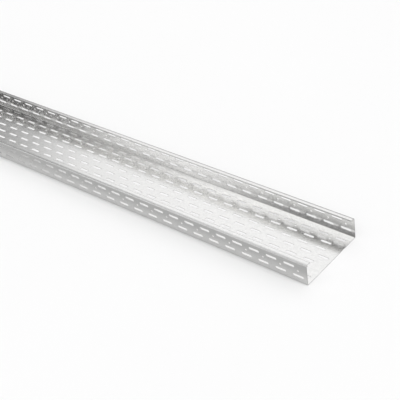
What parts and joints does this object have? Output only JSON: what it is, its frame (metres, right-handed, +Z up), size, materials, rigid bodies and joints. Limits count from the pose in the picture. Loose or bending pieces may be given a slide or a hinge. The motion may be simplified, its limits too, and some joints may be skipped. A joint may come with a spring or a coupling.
{
  "type": "perforated cable tray",
  "caption": "Straight perforated cable tray: an open galvanised steel channel with inward-folded edges and staggered rows of slots in its floor and walls, for laying and tying cables.",
  "frame": {"origin": "middle of the tray's underside", "axes": "+X along the length, +Y across the width, +Z up out of the open side"},
  "size_m": [3, 0.2, 0.06],
  "materials": {
    "galvanised_steel": "zinc-coated sheet, semi-gloss, with a faint spangle"
  },
  "bodies": {
    "root": {"cable_tray": "galvanised_steel"}
  },
  "joints": []
}
